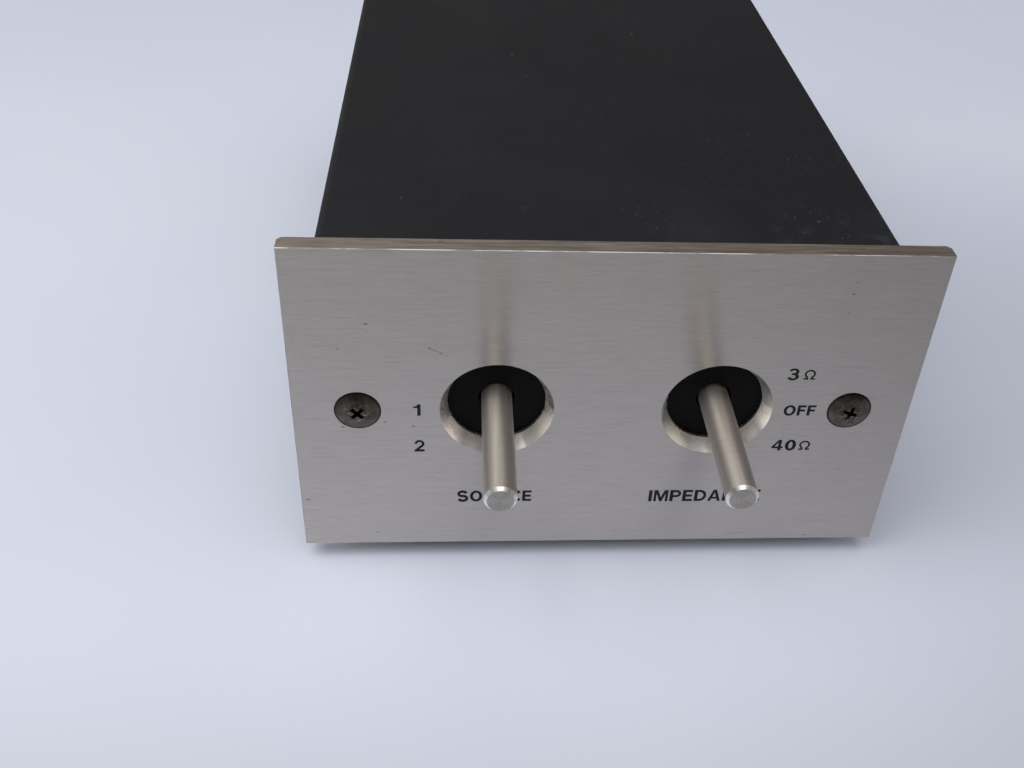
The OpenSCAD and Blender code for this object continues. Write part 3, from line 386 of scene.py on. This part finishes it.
def dull(name, light, dark, rough, scale, bump=0.00005, dust=None, specular=0.4, fibre=None):
    """Rubber, fibre, moulding, sleeve or ink: two tones, grain and a little dust."""
    g = Graph(name, 0.0, rough, specular)
    cloud = g.noise(scale * 0.3, 4, 0.6)
    grain = g.noise(1 if fibre else scale * 4, 3, 0.6, fibre)
    base = g.mix(g.span(cloud, 0.35, 0.68), dark, light)
    base = g.mix(g.span(grain, 0.35, 0.7, 0, 0.45), base, tuple(c * 1.35 for c in light))
    if dust:
        dots = g.specks(scale * 2.2, 0.05, 0.22, 1.1)
        base = g.mix(g.math("MULTIPLY", dots, 0.6), base, dust)
    g.set(Base_Color=base)
    g.set(Roughness=g.span(grain, 0.3, 0.7, rough * 0.85, min(1.0, rough * 1.12)))
    g.bump(grain, bump, 0.4)
    return g.mat


def striped(name, light, dark, rough, axis, pitch):
    """Wound wire or stacked sheets: fine metal bands across one axis."""
    g = Graph(name, 1.0, rough)
    wave = g.math("SINE", g.math("MULTIPLY", g.xyz()[axis], 2 * math.pi / pitch))
    drift = g.noise(220, 3, 0.6)
    base = g.mix(g.span(wave, -1, 0.4), dark, light)
    base = g.mix(g.span(drift, 0.45, 0.7, 0, 0.5), base, tuple(c * 0.7 for c in light))
    g.set(Base_Color=base)
    g.set(Roughness=g.span(drift, 0.3, 0.7, rough * 0.85, rough * 1.2))
    g.bump(wave, pitch * 0.3, 0.6)
    return g.mat


MATERIALS = {
    "panel_alloy": panel_alloy(),
    "lever_alloy": lever_alloy(),
    "screw_steel": metal(
        "screw_steel", (0.145, 0.132, 0.116), (0.072, 0.065, 0.058), 0.3, 900, 0.00003,
        tint=(0.12, 0.095, 0.07), spots=0.1,
    ),
    "case_paint": case_paint(),
    "plated_steel": metal(
        "plated_steel", (0.58, 0.575, 0.55), (0.46, 0.455, 0.43), 0.36, 220, tint=(0.56, 0.53, 0.44),
    ),
    "foot_rubber": dull(
        "foot_rubber", (0.028, 0.028, 0.028), (0.016, 0.016, 0.016), 0.8, 500, dust=(0.12, 0.12, 0.12),
    ),
    "black_fibre": dull(
        "black_fibre", (0.0032, 0.0032, 0.0036), (0.002, 0.002, 0.0024), 0.75, 700,
        dust=(0.16, 0.16, 0.165), specular=0.15,
    ),
    "phenolic": dull(
        "phenolic", (0.23, 0.12, 0.055), (0.15, 0.07, 0.03), 0.5, 300, fibre=(260, 260, 2600),
    ),
    "hub_brass": metal("hub_brass", (0.7, 0.52, 0.26), (0.52, 0.36, 0.16), 0.32, 400),
    "nickel": metal(
        "nickel", (0.66, 0.65, 0.61), (0.54, 0.525, 0.49), 0.22, 420, tint=(0.58, 0.53, 0.44),
    ),
    "white_plug": dull(
        "white_plug", (0.68, 0.66, 0.6), (0.58, 0.55, 0.48), 0.45, 400, dust=(0.25, 0.23, 0.2),
    ),
    "red_plug": dull(
        "red_plug", (0.42, 0.022, 0.02), (0.3, 0.014, 0.014), 0.45, 400, dust=(0.5, 0.2, 0.18),
    ),
    "shield_metal": metal(
        "shield_metal", (0.46, 0.455, 0.43), (0.36, 0.355, 0.335), 0.4, 200, stretch=(300, 300, 2400),
    ),
    "core_steel": striped("core_steel", (0.3, 0.29, 0.275), (0.14, 0.13, 0.12), 0.45, 1, 0.7 * MM),
    "winding": striped("winding", (0.5, 0.22, 0.09), (0.22, 0.08, 0.03), 0.35, 2, 0.5 * MM),
    "lead_red": dull("lead_red", (0.36, 0.03, 0.03), (0.25, 0.02, 0.02), 0.55, 500),
    "lead_blue": dull("lead_blue", (0.06, 0.12, 0.28), (0.04, 0.08, 0.2), 0.55, 500),
    "lead_grey": dull("lead_grey", (0.11, 0.11, 0.11), (0.07, 0.07, 0.07), 0.55, 500),
    "lead_yellow": dull("lead_yellow", (0.48, 0.38, 0.1), (0.36, 0.28, 0.07), 0.55, 500),
}
INK = dull("legend_ink", (0.013, 0.013, 0.014), (0.009, 0.009, 0.01), 0.7, 900, 0.00001, specular=0.2)
# Near-black matte for the panel's screw seats: painted shade in the gap round each screw head.
SEAT_SHADE = dull("seat_shade", (0.03, 0.026, 0.022), (0.015, 0.013, 0.011), 0.85, 900, specular=0.2)


# Angle in degrees from which edges are sharp. The panel has a lower one for its shallow edges.
SHARP_ANGLE = 28
SHARP_ANGLES = {"front_panel": 20}

# A face lies flat across Y from FLAT on, and counts as steep under STEEP.
FLAT = 0.9
STEEP = 0.5

# How far from its axis a lever opening's bevel can reach, and the same for a panel screw's seat.
BEVEL_REACH = 11 * MM
SEAT_REACH = 4.4 * MM
# Distance of the panel screws from the middle.
SCREW_X = 42.6 * MM


def dress_nodes():
    """Gives every CAD node the material of its record slot, smooth faces and sharp edges."""
    for sub in frame["record"]["subparts"]:
        mesh = NODES[sub["node"]].data
        mesh.materials.clear()
        mesh.materials.append(MATERIALS[sub["material_slot"]])
        mesh.shade_smooth()
        mesh.set_sharp_from_angle(angle=math.radians(SHARP_ANGLES.get(sub["node"], SHARP_ANGLE)))


def finish_faces(node, material, chosen):
    """Gives some faces of a node a finish of their own."""
    mesh = NODES[node].data
    mesh.materials.append(material)
    for face in mesh.polygons:
        if chosen(face):
            face.material_index = len(mesh.materials) - 1


def dress_turned_faces():
    """The panel's cut edges, its screw seats in painted shade, the bevels of its openings and the levers'
    faced ends.
    """
    low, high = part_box("front_panel")
    middle = (low.z + high.z) / 2

    def in_seat(face):
        near = math.hypot(abs(face.center.x) - SCREW_X, face.center.z - middle) < SEAT_REACH
        return near and abs(face.normal.y) < FLAT

    finish_faces("front_panel", edge_alloy(), lambda face: abs(face.normal.y) < STEEP)
    finish_faces("front_panel", arris_alloy(), lambda face: STEEP <= abs(face.normal.y) < FLAT)
    # The screw seats get painted shade.
    finish_faces("front_panel", SEAT_SHADE, in_seat)
    finish_faces("panel_screws", screw_head(SCREW_X, middle), lambda face: True)
    chamfer = chamfer_alloy()
    for lever in ("pickup_lever", "selector_lever"):
        start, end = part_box(lever)
        x, z = (start.x + end.x) / 2, (start.z + end.z) / 2

        def on_bevel(face):
            near = math.hypot(face.center.x - x, face.center.z - z) < BEVEL_REACH
            return near and abs(face.normal.y) < FLAT

        bevel = bevel_alloy(lever.replace("lever", "bevel"), x, z)
        tip = tip_alloy(lever.replace("lever", "tip"), x, z)
        finish_faces("front_panel", bevel, on_bevel)
        finish_faces(lever, tip, lambda face: face.normal.y < -FLAT)
        finish_faces(lever, chamfer, lambda face: -FLAT <= face.normal.y < -STEEP)


# Letters are drawn one unit high, with upright strokes STEM wide and level ones BAR thick.
STEM = 0.25
BAR = 0.195
LETTER_GAP = 0.13


def arc(cx, cy, rx, ry, start, end):
    """Points on an ellipse from one angle to another, in degrees."""
    steps = max(4, round(abs(end - start) / 12))
    angles = [math.radians(start + (end - start) * i / steps) for i in range(steps + 1)]
    return [(cx + rx * math.cos(a), cy + ry * math.sin(a)) for a in angles]


def ribbon(path, width):
    """Outline of a stroke of even width along a path, with mitred corners."""
    points = [Vector(p) for p in path]
    left, right = [], []
    for i, p in enumerate(points):
        into = (p - points[i - 1]).normalized() if i else None
        out = (points[i + 1] - p).normalized() if i + 1 < len(points) else into
        into = into or out
        side = (into + out).orthogonal().normalized()
        reach = width / 2 / side.dot(into.orthogonal())
        left.append(p + side * reach)
        right.append(p - side * reach)
    return left + right[::-1]


def block_e(width, feet):
    """The letter E, or F without its lowest bar."""
    low, high = 0.5 - BAR / 2, 0.5 + BAR / 2
    foot = [(width, 0), (width, BAR), (STEM, BAR)] if feet else [(STEM, 0)]
    return [[
        (0, 0), *foot, (STEM, low), (width - 0.05, low), (width - 0.05, high), (STEM, high),
        (STEM, 1 - BAR), (width, 1 - BAR), (width, 1), (0, 1),
    ]]


def bowl(x, middle, rx, ry):
    """The half round counter of P, R and D, closed against the stem."""
    return [(STEM, middle - ry), *arc(x, middle, rx, ry, -90, 90), (STEM, middle + ry)]


def ring(width, side):
    """O or 0: an outer and an inner ellipse that reach a little past the line."""
    half = width / 2
    return [arc(half, 0.5, half, 0.52, 0, 348), arc(half, 0.5, half - side, 0.52 - BAR, 0, 348)]


LETTERS = {
    "I": [[(0, 0), (STEM, 0), (STEM, 1), (0, 1)]],
    "E": block_e(0.74, True),
    "F": block_e(0.7, False),
    "N": [[
        (0, 0), (0, 1), (STEM, 1), (0.66, 0.34), (0.66, 1), (0.86, 1), (0.86, 0), (0.66, 0),
        (STEM, 0.66), (STEM, 0),
    ]],
    "M": [[
        (0, 0), (0, 1), (0.28, 1), (0.52, 0.36), (0.76, 1), (1.04, 1), (1.04, 0), (0.85, 0),
        (0.85, 0.7), (0.61, 0), (0.43, 0), (0.19, 0.7), (0.19, 0),
    ]],
    "A": [
        [(0, 0), (0.36, 1), (0.6, 1), (0.96, 0), (0.74, 0), (0.67, 0.21), (0.29, 0.21), (0.22, 0)],
        [(0.35, 0.37), (0.61, 0.37), (0.48, 0.77)],
    ],
    "P": [
        [(0, 0), (0, 1), *arc(0.48, 0.68, 0.34, 0.32, 90, -90), (STEM, 0.36), (STEM, 0)],
        bowl(0.46, 0.68, 0.16, 0.32 - BAR),
    ],
    "R": [
        [
            (0, 0), (0, 1), *arc(0.52, 0.7, 0.33, 0.3, 90, -60), (0.9, 0), (0.66, 0),
            (0.44, 0.4), (STEM, 0.4), (STEM, 0),
        ],
        bowl(0.5, 0.7, 0.15, 0.3 - BAR),
    ],
    "D": [
        [(0, 0), (0, 1), *arc(0.4, 0.5, 0.48, 0.5, 90, -90)],
        bowl(0.38, 0.5, 0.29, 0.5 - BAR),
    ],
    "O": ring(1.0, STEM),
    "C": [ribbon(arc(0.49, 0.5, 0.39, 0.43, 38, 322), STEM * 0.95)],
    "U": [ribbon([(0.1, 1), *arc(0.44, 0.4, 0.34, 0.32, 180, 360), (0.78, 1)], STEM)],
    "S": [ribbon(
        arc(0.42, 0.72, 0.31, 0.215, 15, 270) + arc(0.44, 0.29, 0.33, 0.225, 90, -165), STEM * 0.92,
    )],
    "0": ring(0.78, STEM),
    "1": [[
        (0.26, 0), (0.26, 0.68), (0, 0.68), (0, 0.8), (0.2, 0.85), (0.3, 1), (0.48, 1), (0.48, 0),
    ]],
    "2": [[
        *arc(0.38, 0.68, 0.37, 0.33, 178, -38), (0.36, BAR), (0.75, BAR), (0.75, 0), (0, 0),
        (0, 0.13), *arc(0.38, 0.68, 0.17, 0.16, -38, 178),
    ]],
    "3": [[
        *arc(0.36, 0.73, 0.34, 0.29, 165, -45), *arc(0.36, 0.3, 0.38, 0.32, 47, -165),
        *arc(0.36, 0.3, 0.17, 0.15, -165, 90), (0.24, 0.45), (0.24, 0.62),
        *arc(0.36, 0.73, 0.14, 0.12, -90, 165),
    ]],
    "4": [
        [
            (0.44, 0), (0.44, 0.21), (0, 0.21), (0, 0.39), (0.42, 1), (0.65, 1), (0.65, 0.38),
            (0.79, 0.38), (0.79, 0.21), (0.65, 0.21), (0.65, 0),
        ],
        [(0.19, 0.38), (0.44, 0.38), (0.44, 0.74)],
    ],
    "Ω": [ribbon(
        [(0, 0.07), (0.3, 0.07), *arc(0.47, 0.56, 0.38, 0.36, 235, -55), (0.64, 0.07), (0.94, 0.07)], 0.155,
    )],
}
PRINT_DEPTH = 0.012 * MM


def legend(name, word, x0, x1, z0, z1):
    """Print on the panel's face, fitted to a box in millimetres from its middle and lower edge."""
    low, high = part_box("front_panel")
    contours = []
    pen = 0.0
    for letter in word:
        points = [p for contour in LETTERS[letter] for p in contour]
        start = min(p[0] for p in points)
        contours += [[(pen + p[0] - start, p[1]) for p in contour] for contour in LETTERS[letter]]
        pen += max(p[0] for p in points) - start + LETTER_GAP
    wide = pen - LETTER_GAP
    curve = bpy.data.curves.new(name, "CURVE")
    curve.dimensions = "2D"
    curve.fill_mode = "BOTH"
    curve.extrude = PRINT_DEPTH
    for contour in contours:
        spline = curve.splines.new("POLY")
        spline.points.add(len(contour) - 1)
        spline.use_cyclic_u = True
        for point, (u, v) in zip(spline.points, contour):
            point.co = ((x0 + u / wide * (x1 - x0)) * MM, (z0 + v * (z1 - z0)) * MM, 0, 1)
    outline = bpy.data.objects.new(name + "_outline", curve)
    scene.collection.objects.link(outline)
    bpy.context.view_layer.update()
    mesh = bpy.data.meshes.new_from_object(outline.evaluated_get(bpy.context.evaluated_depsgraph_get()))
    bpy.data.objects.remove(outline)
    for vertex in mesh.vertices:
        x, z, lift = vertex.co
        vertex.co = (x, low.y - lift, low.z + z)
    bm = bmesh.new()
    bm.from_mesh(mesh)
    bmesh.ops.remove_doubles(bm, verts=bm.verts, dist=1e-7)
    bmesh.ops.recalc_face_normals(bm, faces=bm.faces)
    bm.to_mesh(mesh)
    bm.free()
    mesh.name = name
    mesh.materials.clear()
    mesh.materials.append(INK)
    obj = bpy.data.objects.new(name, mesh)
    scene.collection.objects.link(obj)
    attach(obj, "case")


def legends():
    """Plain numbers, ohm values and generic words beside and under the levers."""
    legend("legend_one", "1", -33.3, -32.05, 30.65, 33.15)
    legend("legend_two", "2", -33.25, -31.5, 22.55, 25.15)
    legend("legend_low_ohm", "3", 30.2, 32.2, 38.5, 41.0)
    legend("legend_low_unit", "Ω", 33.1, 35.1, 38.65, 40.75)
    legend("legend_off", "OFF", 30.9, 36.6, 30.65, 32.95)
    legend("legend_high_ohm", "40", 30.2, 34.6, 22.5, 25.0)
    legend("legend_high_unit", "Ω", 35.15, 37.2, 22.65, 24.8)
    legend("legend_source", "SOURCE", -25.8, -12.4, 10.45, 13.05)
    legend("legend_impedance", "IMPEDANCE", 9.2, 30.0, 10.1, 12.9)


# Half the floor's width, in metres.
FLOOR_HALF = 4.0
# The painted pool of light on the floor, with painted shade round it: its radius in metres, how far back its
# middle is, and the shares of the radius between which its tone falls. Its near edge lies just in front of the
# panel.
PAINTED_POOL = 2.0
PAINTED_POOL_Y = 1.91
PAINTED_POOL_FALL = (0.9955, 1.055)


def floor():
    """A wide pale table top with painted shade: its tone falls in front of the panel, which mirrors it, and
    towards the front right.
    """
    bm = bmesh.new()
    bmesh.ops.create_grid(bm, x_segments=48, y_segments=48, size=FLOOR_HALF)
    mesh = bpy.data.meshes.new("floor")
    bm.to_mesh(mesh)
    bm.free()
    obj = bpy.data.objects.new("floor", mesh)
    scene.collection.objects.link(obj)
    g = Graph("floor_paper", 0.0, 0.6, 0.2)
    cloud = g.noise(7, 4, 0.5)
    base = g.mix(g.span(cloud, 0.35, 0.7), (0.65, 0.69, 0.805), (0.68, 0.715, 0.82))
    x, y, _ = g.xyz()
    # Painted shade: the floor is darkened towards the front right, where the case's shadow and the fall of the
    # light would darken it.
    right = g.math("MULTIPLY", g.span(x, 0.0, 0.16, 0, 0.42), g.span(y, 0.12, -0.02))
    base = g.mix(right, base, (0.3, 0.32, 0.385))
    # Painted shade: outside the painted pool of light the floor's tone falls, in front of the panel.
    reach = g.add("ShaderNodeVectorMath", operation="LENGTH")
    g.link(g.stretched((1 / PAINTED_POOL, 1 / PAINTED_POOL, 0), (0, -PAINTED_POOL_Y / PAINTED_POOL, 0)), reach.inputs[0])
    base = g.mix(g.span(reach.outputs["Value"], *PAINTED_POOL_FALL), base, (0.36, 0.365, 0.385))
    g.set(Base_Color=base)
    g.bump(g.noise(9, 3, 0.5), 0.004, 0.25)
    obj.data.materials.append(g.mat)


def area_light(name, place, aim, size, watts, colour):
    """A round lamp at a place, turned to what it lights."""
    data = bpy.data.lights.new(name, "AREA")
    data.shape = "DISK"
    data.size = size
    data.energy = watts
    data.color = colour
    obj = bpy.data.objects.new(name, data)
    scene.collection.objects.link(obj)
    obj.location = place
    obj.rotation_euler = (Vector(aim) - Vector(place)).to_track_quat("-Z", "Y").to_euler()


class Sky(Graph):
    """The world's background colour as a graph of the direction."""

    def __init__(self, name):
        self.world = bpy.data.worlds.new(name)
        self.world.use_nodes = True
        self.tree = self.world.node_tree
        self.tree.nodes.clear()
        out = self.add("ShaderNodeOutputWorld")
        self.background = self.add("ShaderNodeBackground")
        self.link(self.background.outputs[0], out.inputs[0])
        self.pos = self.add("ShaderNodeTexCoord").outputs["Generated"]


def studio():
    """Daylight from above and the left, a dim warm room behind and the dim shape of someone in front."""
    g = Sky("studio")
    x, y, z = g.xyz()
    colour = g.mix(g.span(z, 0.0, 0.9), (0.59, 0.61, 0.655), (0.82, 0.835, 0.885))
    colour = g.mix(g.span(x, -0.7, 0.7, 0, 0.6), colour, (0.42, 0.43, 0.46))
    colour = g.mix(g.span(y, -0.15, 0.4, 0, 0.7), colour, (0.46, 0.47, 0.49))
    right = g.math("MULTIPLY", g.span(x, 0.1, 0.6), g.span(z, 0.75, 0.35))
    colour = g.mix(g.math("MULTIPLY", right, 0.7), colour, (0.29, 0.285, 0.28))
    behind = g.math("MULTIPLY", g.span(y, 0.1, 0.65), g.span(z, 0.95, 0.72))
    room = g.mix(g.span(x, -0.55, 0.35), (0.46, 0.42, 0.37), (0.12, 0.096, 0.08))
    colour = g.mix(behind, colour, room)
    person = g.math("MULTIPLY", g.span(y, -0.3, -0.8), g.span(z, 0.7, 0.35))
    colour = g.mix(person, colour, (0.09, 0.086, 0.083))
    window = g.math("MULTIPLY", g.span(y, 0.3, -0.05), g.span(z, 0.6, 0.8))
    window = g.math("MULTIPLY", window, g.span(g.math("ABSOLUTE", x), 0.5, 0.25))
    colour = g.mix(window, colour, (2.1, 2.09, 2.08))
    g.put(g.background.inputs["Color"], colour)
    scene.world = g.world
    area_light("key", (-0.25, -0.15, 0.42), (-0.02, -0.04, 0.02), 0.34, 0.7, (1.0, 0.995, 0.98))


camera()
dress_nodes()
dress_turned_faces()
legends()
floor()
studio()
